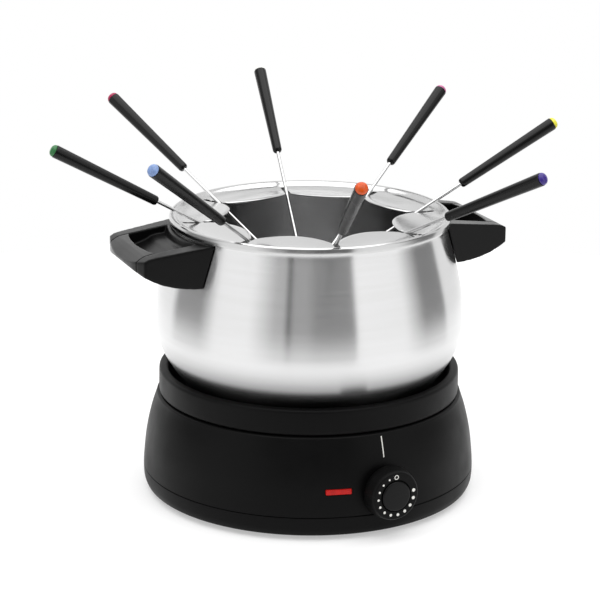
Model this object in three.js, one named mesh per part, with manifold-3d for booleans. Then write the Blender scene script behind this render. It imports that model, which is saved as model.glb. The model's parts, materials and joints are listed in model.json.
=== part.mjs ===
// Electric fondue set: a heated base with a dial, a lift-off steel pot with two handles,
// a fork ring on its rim and eight long forks.
// Millimetres, +Z up. The origin is on the table, under the middle of the base.
// The front faces -Y. A bearing is in degrees from the front towards +X.
import * as THREE from 'three';
import { mergeVertices } from 'three/addons/utils/BufferGeometryUtils.js';
import Module from 'manifold-3d';

const wasm = await Module();
wasm.setup();

const DEG = Math.PI / 180;
const GAP = 0.3;                 // clearance between pieces that rest on each other
const ROUND = 36;                // sides of the large round shells
const SMALL_ROUND = 12;          // sides of screws, feet and studs
const PIN_ROUND = 8;             // sides of the fork shafts and handles

// Base
const FOOT_HEIGHT = 2.7;         // from the table to the underside of the tray
const FOOT_RADIUS = 9;
const FOOT_CIRCLE = 84;
const FOOT_BEARINGS = [15, 105, 195, 285];
const SCREW_CIRCLE = 86;
const SCREW_BEARINGS = [60, 150, 240, 330];
const SCREW_SHANK = 1.4;
const SCREW_HEAD = 3.5;
const SCREW_SEAT_Z = 5.6;         // bottom of each screw's recess in the tray
const BASE_RADIUS = 103.4;       // widest, at the seam between tray and housing
const SEAM_Z = 14.7;
const WALL = 2.4;                // moulded wall of the housing and tray
const DECK_Z = 61.9;             // top of the housing, which carries the collar
const DECK_INNER = 84;
const COLLAR_RADIUS = 93.3;
const COLLAR_TOP = 78.3;
const WELL_INNER = 58.5;         // opening of the collar around the hotplate
const WELL_Z = 50.6;
const PLATE_RADIUS = 56;
const PLATE_TOP = 53.7;
const PLATE_UNDER = 47.5;
const STUD_RADIUS = 3;
const SHIELD_RADIUS = 64;

// Dial and lamp
const KNOB_BEARING = 27;
const KNOB_Z = 28.8;
const KNOB_RADIUS = 16.2;
const KNOB_BACK = 104.2;         // distance of the knob's back from the base's axis
const KNOB_DEPTH = 10.4;
const KNOB_CAP_RADIUS = 9.2;
const SPINDLE_RADIUS = 3;
const LAMP_BEARING = 10.4;
const LAMP_Z = 30.3;
const LAMP_WIDTH = 15.5;
const LAMP_HEIGHT = 3.2;
const GLAND_BEARING = 180;
const GLAND_Z = 26;
const GLAND_RADIUS = 6;
const CORD_RADIUS = 3.4;         // hole through the gland
const THERMOSTAT_FRONT = 90;     // distance of the thermostat's face from the base's axis

// Pot
const POT_UNDER = 54;            // underside of the base disc, on the hotplate
const DISC_THICK = 3.2;
const POT_FLOOR = POT_UNDER + DISC_THICK + GAP;
const POT_WALL = 0.9;
const RIM_Z = 172.9;
const HANDLE_BEARINGS = { left: -67.3, right: 112.7 };
const HANDLE_START = 60;         // handle shapes begin inside the pot and are cut back to its wall
const HANDLE_END = 130;          // beyond the outermost point of a handle
const HANDLE_SPACE = [130, 190]; // heights well below and well above the handles
const GRIP_HALF = 25;            // half width of the grip and of the finger pocket
// Floor of the finger pocket: distance outwards and height.
const POCKET_FLOOR = [[60, 164], [90, 162.6], [98, 159.6], [105, 157.4], [115, 155.8]];
const FLOOR_THICK = 3;
const HOLLOW_HALF = 23;          // half width of the hollow under the pocket
const HOLLOW_END = 104;
const MOUNT_WALL = 3.4;          // moulded wall against the pot
const BRACKET = 1.5;             // welded strap behind each handle, and its tab
const BRACKET_HALF = 15;
const BRACKET_SPAN = [149.5, 165]; // heights between which the strap reaches
const TAB_Z = 152;               // underside of the tab
const TAB_HALF = 7;
const TAB_END = 101;
const HANDLE_SCREW_OUT = 96.5;   // distance of the upright screw from the pot's axis
const HANDLE_SCREW_RADIUS = 1.8;
const HANDLE_SCREW_TOP = 156.4;
// Inner face of the grip: distance outwards and share of its half width.
const BAR_FACE = [[108.2, -1], [110.8, -0.5], [111.6, 0], [110.8, 0.5], [108.2, 1]];

// Fork ring
const NOTCHES = 8;
const FIRST_NOTCH = 13;          // bearing of the first notch
const RING_RADIUS = 86.2;
const RING_TOP = 174.3;
const SKIRT_Z = 169.7;           // lower edge of the ring's outer skirt
const RING_SHEET = 1;
const NOTCH_RADIUS = 66;         // root of each notch between two lobes
const LOBE_RADIUS = 51;          // innermost point of each lobe
const SLOT_END = 79;
const SLOT_WIDTH = 3.4;

// Forks
const FORK_LENGTH = 264;
const FORK_SHAFT = 1.05;         // shaft radius
const FORK_PIVOT_R = 66.8;       // where each fork passes its notch
const FORK_PIVOT_Z = 170.2;
const FORK_HANDLE = 69.1;        // handle without the cap's dome
const CAP_DOME = 1.6;
const CAP_RECESS = 2;            // depth of the cap's seat in the handle
const SHAFT_IN_HANDLE = 46;
const TINE_LENGTH = 26;
const TINE_HALF = 3.3;           // half the spread of the two tines
const TINE_THICK = 1.6;
// Each fork leans in its own notch: tilt above the horizontal, swing about the vertical, and
// how far the handle stands out beyond the notch. The leans keep the shafts apart where they cross.
const FORKS = [
  { colour: 'orange', paint: 0xe0561c, tilt: 34.1, swing: -3.6, reach: 25.6 },
  { colour: 'violet', paint: 0x3a3f9f, tilt: 27.0, swing: -1.6, reach: 32.0 },
  { colour: 'yellow', paint: 0xe6c526, tilt: 30.5, swing: 3.3, reach: 33.9 },
  { colour: 'pink', paint: 0xc46a9a, tilt: 34.0, swing: -4.5, reach: 31.9 },
  { colour: 'white', paint: 0xe4e4e0, tilt: 38.5, swing: 0.7, reach: 34.6 },
  { colour: 'crimson', paint: 0xb01c30, tilt: 33.8, swing: -2.6, reach: 33.7 },
  { colour: 'green', paint: 0x2f8a4a, tilt: 28.6, swing: -1.1, reach: 31.4 },
  { colour: 'blue', paint: 0x7fb2e0, tilt: 35.2, swing: -8.2, reach: 28.5 },
];

// Materials
const finish = (color, roughness, metalness) =>
  new THREE.MeshStandardMaterial({ color, roughness, metalness });
const blackPlastic = finish(0x1e1d20, 0.5, 0);
const gripPlastic = finish(0x29282c, 0.45, 0);
const steel = finish(0xc9c8c8, 0.28, 1);
const polished = finish(0xdedddd, 0.15, 1);
const aluminium = finish(0xb4b4b6, 0.4, 1);
const darkMetal = finish(0x4a4a4c, 0.5, 1);
const rubber = finish(0x17171a, 0.85, 0);
const redLens = finish(0xd02018, 0.25, 0);
const ceramic = finish(0xe8e2d4, 0.7, 0);
const brass = finish(0xb89a4e, 0.35, 1);

// Solids

// Keeps positions only and turns the faces outwards.
function closed(geometry) {
  const bare = geometry.clone();
  bare.deleteAttribute('normal');
  bare.deleteAttribute('uv');
  const merged = mergeVertices(bare, 1e-4);
  const position = merged.getAttribute('position');
  const faces = [];
  let volume = 0;
  const a = new THREE.Vector3();
  const b = new THREE.Vector3();
  const c = new THREE.Vector3();
  for (let i = 0; i < merged.index.count; i += 3) {
    const corner = [0, 1, 2].map((k) => merged.index.getX(i + k));
    if (corner[0] === corner[1] || corner[1] === corner[2] || corner[0] === corner[2]) {
      continue;
    }
    faces.push(...corner);
    a.fromBufferAttribute(position, corner[0]);
    b.fromBufferAttribute(position, corner[1]);
    c.fromBufferAttribute(position, corner[2]);
    volume += a.dot(b.cross(c));
  }
  if (volume < 0) {
    faces.reverse();
  }
  merged.setIndex(faces);
  return merged;
}

// A closed geometry as a solid that can be cut and joined.
function solid(geometry) {
  const shape = closed(geometry);
  return new wasm.Manifold(new wasm.Mesh({
    numProp: 3,
    vertProperties: new Float32Array(shape.getAttribute('position').array),
    triVerts: new Uint32Array(shape.index.array),
  }));
}

// The surface of a cut solid as a geometry.
function surface(cut) {
  const mesh = cut.getMesh();
  const geometry = new THREE.BufferGeometry();
  geometry.setAttribute('position', new THREE.BufferAttribute(mesh.vertProperties, 3));
  geometry.setIndex(new THREE.BufferAttribute(mesh.triVerts, 1));
  return geometry;
}

function part(name, geometry, material) {
  const mesh = new THREE.Mesh(closed(geometry), material);
  mesh.name = name;
  return mesh;
}

// Turns an outline of [radius, height] points about Z. It ends on the axis or closes on itself.
function revolve(outline, sides = ROUND) {
  const points = outline.map(([radius, height]) => new THREE.Vector2(radius, height));
  const geometry = new THREE.LatheGeometry(points, sides);
  geometry.rotateX(Math.PI / 2);
  return geometry;
}

// The same about the X axis, for pieces that point outwards.
function revolveX(outline, sides) {
  return revolve(outline, sides).rotateY(Math.PI / 2);
}

function rod(radius, bottom, top, sides = SMALL_ROUND) {
  return revolve([[0, bottom], [radius, bottom], [radius, top], [0, top]], sides);
}

function block(from, to) {
  const size = to.map((value, axis) => value - from[axis]);
  const middle = to.map((value, axis) => (value + from[axis]) / 2);
  return new THREE.BoxGeometry(...size).translate(...middle);
}

// A plan outline of [x, y] points, raised from bottom to top.
function plate(outline, bottom, top) {
  const shape = new THREE.Shape(outline.map(([x, y]) => new THREE.Vector2(x, y)));
  const settings = { depth: top - bottom, bevelEnabled: false };
  return new THREE.ExtrudeGeometry(shape, settings).translate(0, 0, bottom);
}

// A side outline of [x, z] points, spread across Y from -half to half.
function slab(outline, half) {
  return plate(outline.map(([x, z]) => [x, -z]), -half, half).rotateX(-Math.PI / 2);
}

// Turns a frame with +X outwards so that it points along a bearing.
const bearingTurn = (bearing) => (bearing - 90) * DEG;

function atBearing(bearing, ...children) {
  const group = new THREE.Group();
  group.rotation.z = bearingTurn(bearing);
  group.add(...children);
  return group;
}

// The same for a bare geometry: moved out to a radius and turned.
function turned(geometry, bearing, radius = 0) {
  return geometry.translate(radius, 0, 0).rotateZ(bearingTurn(bearing));
}

// Points of a smooth curve through the given ones.
function smooth(points, count) {
  const curve = new THREE.SplineCurve(points.map(([r, z]) => new THREE.Vector2(r, z)));
  return curve.getSpacedPoints(count).map((point) => [point.x, point.y]);
}

// Moves an outline sideways, to its right as it is followed.
function offset(outline, distance) {
  return outline.map(([r, z], i) => {
    const before = outline[Math.max(i - 1, 0)];
    const after = outline[Math.min(i + 1, outline.length - 1)];
    const length = Math.hypot(after[0] - before[0], after[1] - before[1]);
    const normal = [(after[1] - before[1]) / length, (before[0] - after[0]) / length];
    return [r + normal[0] * distance, z + normal[1] * distance];
  });
}

// Base

// Outside of the housing from the seam up to its rounded shoulder.
const HOUSING_SIDE = smooth([
  [BASE_RADIUS, SEAM_Z + GAP], [102.9, 22.5], [101.3, 36], [98.3, 49.5], [94.9, 60],
], 5);

// A round hole outwards through the housing's wall.
function wallHole(radius, height, bearing) {
  const hole = revolveX([[0, 90], [radius, 90], [radius, 110], [0, 110]], SMALL_ROUND);
  return solid(turned(hole.translate(0, 0, height), bearing));
}

function makeHousing() {
  const inside = offset(HOUSING_SIDE, -WALL).reverse();
  let housing = solid(revolve([
    ...HOUSING_SIDE, [94.2, DECK_Z - 0.4], [93, DECK_Z], [DECK_INNER, DECK_Z],
    [DECK_INNER, DECK_Z - WALL], [inside[0][0], DECK_Z - WALL], ...inside.slice(1),
    HOUSING_SIDE[0],
  ]));
  for (const bearing of SCREW_BEARINGS) {
    const post = rod(4.5, SEAM_Z - 6.2, DECK_Z - 1);
    housing = housing.add(solid(turned(post, bearing, SCREW_CIRCLE)));
    const pilot = rod(SCREW_SHANK + GAP, 0, SEAM_Z + 6);
    housing = housing.subtract(solid(turned(pilot, bearing, SCREW_CIRCLE)));
  }
  housing = housing.subtract(wallHole(SPINDLE_RADIUS + 2 * GAP, KNOB_Z, KNOB_BEARING));
  const window = block(
    [90, -LAMP_WIDTH / 2 - GAP, LAMP_Z - LAMP_HEIGHT / 2 - GAP],
    [110, LAMP_WIDTH / 2 + GAP, LAMP_Z + LAMP_HEIGHT / 2 + GAP],
  );
  housing = housing.subtract(solid(turned(window, LAMP_BEARING)));
  housing = housing.subtract(wallHole(GLAND_RADIUS + GAP, GLAND_Z, GLAND_BEARING));
  return part('housing', surface(housing), blackPlastic);
}

function makeTray() {
  const floorTop = FOOT_HEIGHT + 2.2;
  let tray = solid(revolve([
    [0, FOOT_HEIGHT], [101.6, FOOT_HEIGHT], [103, FOOT_HEIGHT + 1.4], [BASE_RADIUS, 8],
    [BASE_RADIUS, SEAM_Z], [BASE_RADIUS - WALL, SEAM_Z], [BASE_RADIUS - WALL, floorTop],
    [0, floorTop],
  ]));
  for (const bearing of SCREW_BEARINGS) {
    tray = tray.add(solid(turned(rod(6.5, FOOT_HEIGHT + 1, 8.2), bearing, SCREW_CIRCLE)));
    tray = tray.subtract(solid(turned(rod(SCREW_HEAD + 0.5, 0, SCREW_SEAT_Z), bearing, SCREW_CIRCLE)));
    tray = tray.subtract(solid(turned(rod(SCREW_SHANK + GAP, 0, 10), bearing, SCREW_CIRCLE)));
  }
  for (const bearing of FOOT_BEARINGS) {
    tray = tray.subtract(solid(turned(rod(3.3, 0, 10), bearing, FOOT_CIRCLE)));
  }
  return part('bottom_tray', surface(tray), blackPlastic);
}

function makeFeet() {
  const top = FOOT_HEIGHT - GAP;
  return FOOT_BEARINGS.map((bearing, i) => {
    const foot = revolve([
      [0, 0], [FOOT_RADIUS - 1, 0], [FOOT_RADIUS, 1], [FOOT_RADIUS, top], [3, top], [3, 6], [0, 6],
    ], SMALL_ROUND);
    return part(`foot_${i + 1}`, turned(foot, bearing, FOOT_CIRCLE), rubber);
  });
}

function makeTrayScrews() {
  return SCREW_BEARINGS.map((bearing, i) => {
    const head = SCREW_SEAT_Z - GAP;
    const screw = revolve([
      [0, 3.1], [SCREW_HEAD, 3.1], [SCREW_HEAD, head], [SCREW_SHANK, head], [SCREW_SHANK, 19], [0, 20],
    ], PIN_ROUND);
    return part(`tray_screw_${i + 1}`, turned(screw, bearing, SCREW_CIRCLE), darkMetal);
  });
}

// Ring on the deck: a low outer wall, a rounded edge and a well that falls to the hotplate.
function makeCollar() {
  const bottom = DECK_Z + GAP;
  const edge = new THREE.EllipseCurve(
    COLLAR_RADIUS - 3.4, COLLAR_TOP - 3, 3, 3, 0, Math.PI / 2,
  ).getPoints(2).map((point) => [point.x, point.y]);
  const well = smooth([
    [87, COLLAR_TOP - 1.6], [84, 69], [79.5, 61.5], [71, 54.5], [WELL_INNER, WELL_Z],
  ], 4);
  const underWell = offset(well, -2).reverse();
  return part('collar', revolve([
    [COLLAR_RADIUS - 1.2, bottom], [COLLAR_RADIUS, bottom + 1.6], ...edge, ...well,
    [WELL_INNER, WELL_Z - 2], ...underWell.slice(1, -1),
    [84.6, COLLAR_TOP - 2.6 - WALL], [COLLAR_RADIUS - WALL - 0.4, COLLAR_TOP - 5.4],
    [COLLAR_RADIUS - WALL, bottom], [COLLAR_RADIUS - 1.2, bottom],
  ]), blackPlastic);
}

function makeHeater() {
  const flangeTop = WELL_Z - 2 - GAP;
  const hotplate = part('hotplate', revolve([
    [0, PLATE_UNDER], [PLATE_RADIUS - 4, PLATE_UNDER], [PLATE_RADIUS - 4, flangeTop - 2],
    [63, flangeTop - 2], [63, flangeTop], [PLATE_RADIUS, flangeTop],
    [PLATE_RADIUS, PLATE_TOP - 1], [PLATE_RADIUS - 1, PLATE_TOP], [0, PLATE_TOP],
  ]), darkMetal);

  // Tubular element: most of a circle, with both ends turned down.
  const tube = 3.2;
  const elementZ = PLATE_UNDER - GAP - tube;
  const elementRadius = 38;
  const openAngle = 20 * DEG;
  const legAngle = 15 * DEG;
  const legTop = elementZ - 4;
  const legBottom = elementZ - 12;
  const pointAt = (angle, z) =>
    new THREE.Vector3(elementRadius * Math.cos(angle), elementRadius * Math.sin(angle), z);
  const arcPoints = [];
  const arcSteps = 24;
  for (let i = 0; i <= arcSteps; i += 1) {
    const angle = openAngle + (i / arcSteps) * (2 * Math.PI - 2 * openAngle);
    arcPoints.push(pointAt(angle, elementZ));
  }
  const path = new THREE.CatmullRomCurve3([
    pointAt(legAngle, legBottom), pointAt(legAngle, legTop),
    ...arcPoints,
    pointAt(-legAngle, legTop), pointAt(-legAngle, legBottom),
  ], false, 'centripetal');
  const section = new THREE.Shape();
  section.absarc(0, 0, tube, 0, 2 * Math.PI);
  const element = part('heating_element', new THREE.ExtrudeGeometry(section, {
    steps: 36, curveSegments: 4, extrudePath: path,
  }), darkMetal);

  const shieldZ = elementZ - tube - 2.4;
  const shieldRim = flangeTop - 2 - GAP;
  const slotHalf = 4.5;
  let shieldSolid = solid(revolve([
    [STUD_RADIUS + 0.5, shieldZ], [58, shieldZ], [SHIELD_RADIUS, shieldZ + 5],
    [SHIELD_RADIUS, shieldRim], [SHIELD_RADIUS - 1, shieldRim],
    [SHIELD_RADIUS - 1, shieldZ + 5.6], [57.6, shieldZ + 1],
    [STUD_RADIUS + 0.5, shieldZ + 1], [STUD_RADIUS + 0.5, shieldZ],
  ]));
  shieldSolid = shieldSolid.subtract(solid(block(
    [elementRadius - slotHalf, -17, shieldZ - 2], [elementRadius + slotHalf, 17, shieldZ + 2],
  )));
  const shield = part('heat_shield', surface(shieldSolid), aluminium);

  const studTop = PLATE_UNDER - GAP;
  const stud = part('hotplate_stud', rod(STUD_RADIUS, shieldZ - 9, studTop, PIN_ROUND), steel);
  const nutBore = STUD_RADIUS + 1;
  const nut = part('stud_nut', revolve([
    [nutBore, shieldZ - 5], [6.5, shieldZ - 5], [6.5, shieldZ - GAP],
    [nutBore, shieldZ - GAP], [nutBore, shieldZ - 5],
  ], 6), steel);
  return [hotplate, element, shield, stud, nut];
}

function makeControls() {
  const thermostat = part('thermostat', block(
    [THERMOSTAT_FRONT - 18, -13, KNOB_Z - 11], [THERMOSTAT_FRONT, 13, KNOB_Z + 11],
  ), ceramic);
  const lamp = part('neon_lamp', revolve([
    [0, -7], [2, -7], [2.6, -5.5], [2.6, 6], [0, 7.4],
  ], PIN_ROUND).rotateX(Math.PI / 2).translate(93.5, 0, LAMP_Z), finish(0xf0b090, 0.2, 0));
  const lens = part('lamp_lens', block(
    [98.4, -LAMP_WIDTH / 2, LAMP_Z - LAMP_HEIGHT / 2],
    [102.4, LAMP_WIDTH / 2, LAMP_Z + LAMP_HEIGHT / 2],
  ), redLens);
  const terminals = part('terminal_block', block([58, -17, 5.2], [72, 17, 17]), ceramic);
  const wallAtGland = 103.1;
  const inner = wallAtGland - 9.1;
  const outer = wallAtGland + 3.4;
  const gland = part('cord_gland', revolveX([
    [CORD_RADIUS, inner], [GLAND_RADIUS + 2, inner], [GLAND_RADIUS + 2, inner + 2],
    [GLAND_RADIUS, inner + 2], [GLAND_RADIUS, wallAtGland + GAP],
    [GLAND_RADIUS + 2.4, wallAtGland + 0.6], [GLAND_RADIUS + 1, outer], [CORD_RADIUS, outer],
    [CORD_RADIUS, inner],
  ], SMALL_ROUND).translate(0, 0, GLAND_Z), rubber);
  return [
    atBearing(KNOB_BEARING, thermostat),
    atBearing(LAMP_BEARING, lamp, lens),
    atBearing(GLAND_BEARING, terminals, gland),
  ];
}

function makeKnob() {
  const front = KNOB_BACK + KNOB_DEPTH;
  const recess = front - 1.6;
  const boreEnd = recess - 1.5;
  const bore = SPINDLE_RADIUS + GAP;
  const knob = part('knob', revolveX([
    [bore, KNOB_BACK], [KNOB_RADIUS - 0.6, KNOB_BACK], [KNOB_RADIUS, KNOB_BACK + 0.8],
    [KNOB_RADIUS, KNOB_BACK + 3], [14.6, front - 0.8], [13.8, front],
    [KNOB_CAP_RADIUS + GAP, front], [KNOB_CAP_RADIUS + GAP, recess], [0, recess],
    [0, boreEnd], [bore, boreEnd], [bore, KNOB_BACK],
  ], 32), blackPlastic);
  const cap = part('knob_cap', revolveX([
    [0, recess + GAP], [KNOB_CAP_RADIUS, recess + GAP], [KNOB_CAP_RADIUS, front + 0.3],
    [KNOB_CAP_RADIUS - 0.7, front + 0.9], [0, front + 1.2],
  ], 24), gripPlastic);
  const spindle = part('thermostat_spindle', revolveX([
    [0, THERMOSTAT_FRONT + GAP], [SPINDLE_RADIUS, THERMOSTAT_FRONT + GAP],
    [SPINDLE_RADIUS, boreEnd - GAP], [0, boreEnd - GAP],
  ], PIN_ROUND), brass);
  const group = atBearing(KNOB_BEARING, knob, cap, spindle);
  group.position.z = KNOB_Z;
  return group;
}

// Pot

// Outside of the pot from its floor up to the lip, without the flat floor.
const POT_SIDE = [
  ...smooth([
    [57, POT_FLOOR], [64.5, 59], [71, 63], [81, 74.2], [90.4, 88.5], [94.7, 102],
    [95.3, 111.5], [94.2, 125], [91.2, 139.5], [87.3, 154.5], [83.9, 167.6],
  ], 12),
  [84.2, 170.6], [84.7, RIM_Z],
];

// A sheet that follows the pot's outside between two distances from it.
function potSheet(near, far) {
  const stretch = POT_SIDE.filter(([, z]) => z > 136);
  const outer = offset(stretch, far);
  const inner = offset(stretch, near).reverse();
  return revolve([...outer, ...inner, outer[0]]);
}

function makePot() {
  const inside = offset(POT_SIDE, -POT_WALL).reverse();
  const body = part('pot_body', revolve([
    [0, POT_FLOOR], ...POT_SIDE, ...inside, [0, POT_FLOOR + POT_WALL],
  ]), steel);
  const disc = part('pot_base_disc', revolve([
    [0, POT_UNDER], [54, POT_UNDER], [55, POT_UNDER + 1], [55, POT_UNDER + DISC_THICK],
    [0, POT_UNDER + DISC_THICK],
  ]), aluminium);
  return [body, disc];
}

// The space on one side of the grip's inner face.
function besideBar(outerEnd, half, back) {
  const face = BAR_FACE.map(([x, share]) => [x + back, share * half]);
  return solid(plate([[outerEnd, -half], ...face, [outerEnd, half]], ...HANDLE_SPACE));
}

// Outside of a handle: its side view and its plan.
function handleOutside() {
  const side = [
    [HANDLE_START, 171.1], [75, 169.1], [111, 164.4], [115, 163.6], [117.8, 162.2], [120.8, 160],
    [122.6, 157.8], [122.4, 156.2], [120.4, 154.4], [117.8, 152.6], [112, 149.4], [106.5, 147], [99, 144.9],
    [91.5, 143.7], [82, 143.1], [HANDLE_START, 143.1],
  ];
  const halfPlan = [[HANDLE_START, 38.2], [117.8, 33.4], [119.8, 26.3], [121.4, 18.8], [122.4, 9]];
  const plan = [...halfPlan.map(([x, y]) => [x, -y]), [122.8, 0], ...[...halfPlan].reverse()];
  return solid(slab(side, 60)).intersect(solid(plate(plan, ...HANDLE_SPACE)));
}

// A handle: two arms and a pocket floor on a wall that follows the pot, hollow underneath, and
// a grip bar between the arms' ends. A strap on the pot carries a tab inside the hollow, and an
// upright screw holds the tab. X points outwards, Y along the pot's wall.
function makeHandle(side) {
  const bearing = HANDLE_BEARINGS[side];
  const [low, high] = HANDLE_SPACE;
  const floorEnd = POCKET_FLOOR[POCKET_FLOOR.length - 1][0];
  // Shapes about the pot's axis keep the pot's own facets.
  const aroundPot = (geometry) => solid(geometry.rotateZ(-bearingTurn(bearing)));
  const withinSheet = (distance) => aroundPot(revolve([
    [0, 132], ...offset(POT_SIDE, distance).filter(([, z]) => z > 132),
    [RING_RADIUS, 192], [0, 192],
  ]));
  const outside = handleOutside();
  const potSpace = withinSheet(GAP);
  const behindWall = withinSheet(MOUNT_WALL);
  const aboveFloor = solid(slab([...POCKET_FLOOR, [floorEnd, high], [HANDLE_START, high]], 60));
  const pocket = besideBar(HANDLE_START, GRIP_HALF, 0).intersect(aboveFloor).subtract(behindWall);
  const ceiling = POCKET_FLOOR.map(([x, z]) => [x, z - FLOOR_THICK]);
  const hollow = solid(slab([...ceiling, [floorEnd, low], [HANDLE_START, low]], 60))
    .intersect(solid(block([HANDLE_START, -HOLLOW_HALF, low], [HOLLOW_END, HOLLOW_HALF, high])))
    .subtract(behindWall);
  const [strapLow, strapHigh] = BRACKET_SPAN;
  const strapSpace = aroundPot(potSheet(0, BRACKET + 2 * GAP)).intersect(solid(block(
    [HANDLE_START, -BRACKET_HALF - GAP, strapLow - GAP],
    [HANDLE_END, BRACKET_HALF + GAP, strapHigh + GAP],
  )));
  const tabSpace = solid(block(
    [80, -TAB_HALF - GAP, TAB_Z - GAP],
    [TAB_END + GAP, TAB_HALF + GAP, TAB_Z + BRACKET + GAP],
  ));
  const onScrew = (radius, bottom, top) =>
    solid(rod(radius, bottom, top).translate(HANDLE_SCREW_OUT, 0, 0));
  const screwHole = onScrew(HANDLE_SCREW_RADIUS + GAP, low, HANDLE_SCREW_TOP + GAP);

  const frame = outside.subtract(potSpace).subtract(pocket)
    .subtract(besideBar(HANDLE_END, GRIP_HALF, 0))
    .subtract(strapSpace).subtract(hollow)
    .add(onScrew(HANDLE_SCREW_RADIUS + 3, TAB_Z + BRACKET + GAP, HANDLE_SCREW_TOP + 1))
    .subtract(tabSpace).subtract(screwHole);
  const grip = outside.intersect(besideBar(HANDLE_END, GRIP_HALF - GAP, GAP));
  const tab = solid(block([80, -TAB_HALF, TAB_Z], [TAB_END, TAB_HALF, TAB_Z + BRACKET]))
    .subtract(potSpace);
  const bracket = aroundPot(potSheet(GAP, BRACKET + GAP))
    .intersect(solid(block(
      [HANDLE_START, -BRACKET_HALF, strapLow], [HANDLE_END, BRACKET_HALF, strapHigh],
    )))
    .add(tab).subtract(screwHole);
  const headTop = TAB_Z - GAP;
  const screw = rod(HANDLE_SCREW_RADIUS + 1.6, headTop - 2.3, headTop);
  const shank = rod(HANDLE_SCREW_RADIUS, headTop - 1, HANDLE_SCREW_TOP);
  const wholeScrew = solid(screw).add(solid(shank)).translate([HANDLE_SCREW_OUT, 0, 0]);
  return atBearing(
    bearing,
    part(`handle_${side}`, surface(frame), blackPlastic),
    part(`handle_${side}_grip`, surface(grip), gripPlastic),
    part(`handle_${side}_bracket`, surface(bracket), steel),
    part(`handle_${side}_screw`, surface(wholeScrew), darkMetal),
  );
}

// Fork ring

// Pressed sheet that hooks over the pot's rim, with eight lobes towards the middle and a
// slot behind each notch between them.
function makeRing() {
  const top = [
    [RING_RADIUS, RING_TOP - 1.2], [RING_RADIUS - 0.9, RING_TOP], [RING_RADIUS - 2.6, RING_TOP],
    [81.4, 172.6], [79, 171.4], [72, 171], [60, 171.9], [46, 173.2],
  ];
  const under = top.slice(1).map(([r, z]) => [r, z - RING_SHEET]).reverse();
  const sheet = solid(revolve([
    [RING_RADIUS, SKIRT_Z], ...top, ...under, [RING_RADIUS - RING_SHEET, 172.4],
    [RING_RADIUS - RING_SHEET, SKIRT_Z], [RING_RADIUS, SKIRT_Z],
  ]));
  const step = 360 / NOTCHES;
  const lobePoints = 7;
  const halfStep = (step / 2) * DEG;
  const chordMiddle = NOTCH_RADIUS * Math.cos(halfStep);
  const halfChord = NOTCH_RADIUS * Math.sin(halfStep);
  const sagitta = chordMiddle - LOBE_RADIUS;
  const lobeArc = (halfChord ** 2 + sagitta ** 2) / (2 * sagitta);
  const spread = Math.asin(halfChord / lobeArc);
  const flower = [];
  for (let notch = 0; notch < NOTCHES; notch += 1) {
    const middle = bearingTurn(FIRST_NOTCH + (notch + 0.5) * step);
    for (let i = 0; i < lobePoints; i += 1) {
      const along = (i / lobePoints) * 2 * spread - spread;
      const x = LOBE_RADIUS + lobeArc * (1 - Math.cos(along));
      const y = lobeArc * Math.sin(along);
      flower.push([
        x * Math.cos(middle) - y * Math.sin(middle), x * Math.sin(middle) + y * Math.cos(middle),
      ]);
    }
  }
  let ring = sheet.subtract(solid(plate(flower, 160, 180)));
  for (let notch = 0; notch < NOTCHES; notch += 1) {
    const slot = block([NOTCH_RADIUS - 4, -SLOT_WIDTH / 2, 160], [SLOT_END, SLOT_WIDTH / 2, 180]);
    ring = ring.subtract(solid(turned(slot, FIRST_NOTCH + notch * step)));
  }
  return part('fork_ring', surface(ring), polished);
}

// Forks

// Two flat tines that widen from the shaft; x is 0 at the tips.
function tineOutline() {
  const root = TINE_LENGTH + 8;
  const half = [
    [root + 6, 0.9], [root, 1.6], [TINE_LENGTH, TINE_HALF - 0.2], [6, TINE_HALF],
    [0, TINE_HALF - 1.2], [6, 1.5], [TINE_LENGTH - 5, 1.3], [TINE_LENGTH - 3, 0],
  ];
  const mirrored = half.slice(0, -1).map(([x, z]) => [x, -z]).reverse();
  return [...half, ...mirrored];
}

// One fork, with X along its shaft towards the handle and 0 at the notch.
function makeFork(fork, index) {
  const tip = fork.reach + FORK_HANDLE + CAP_DOME - FORK_LENGTH;
  const handleEnd = fork.reach + FORK_HANDLE;
  const boreEnd = fork.reach + SHAFT_IN_HANDLE;
  const seat = handleEnd - CAP_RECESS;
  const shaftStart = tip + TINE_LENGTH + 10;
  const shaft = solid(revolveX([
    [0, shaftStart], [FORK_SHAFT, shaftStart], [FORK_SHAFT, boreEnd - GAP], [0, boreEnd - GAP],
  ], PIN_ROUND));
  const tines = solid(slab(tineOutline(), TINE_THICK / 2).translate(tip, 0, 0));
  const bore = FORK_SHAFT + GAP;
  const handle = revolveX([
    [0, boreEnd], [bore, boreEnd], [bore, fork.reach], [2.5, fork.reach], [3, fork.reach + 1],
    [3.45, fork.reach + 34], [3.95, handleEnd - 3], [3.9, handleEnd], [3.5, handleEnd],
    [3.5, seat], [0, seat],
  ], PIN_ROUND);
  const cap = revolveX([
    [0, seat + GAP], [3.2, seat + GAP], [3.2, handleEnd + 0.3],
    [2.2, handleEnd + 1.2], [0, handleEnd + CAP_DOME],
  ], PIN_ROUND);
  const group = new THREE.Group();
  const name = `fork_${fork.colour}`;
  group.add(
    part(`${name}_shaft`, surface(shaft.add(tines)), polished),
    part(`${name}_handle`, handle, gripPlastic),
    part(`${name}_cap`, cap, finish(fork.paint, 0.3, 0)),
  );
  const notch = FIRST_NOTCH + index * (360 / NOTCHES);
  const out = bearingTurn(notch);
  group.position.set(
    FORK_PIVOT_R * Math.cos(out), FORK_PIVOT_R * Math.sin(out), FORK_PIVOT_Z,
  );
  group.rotation.order = 'ZYX';
  group.rotation.z = bearingTurn(notch + fork.swing);
  group.rotation.y = -fork.tilt * DEG;
  return group;
}

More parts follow.
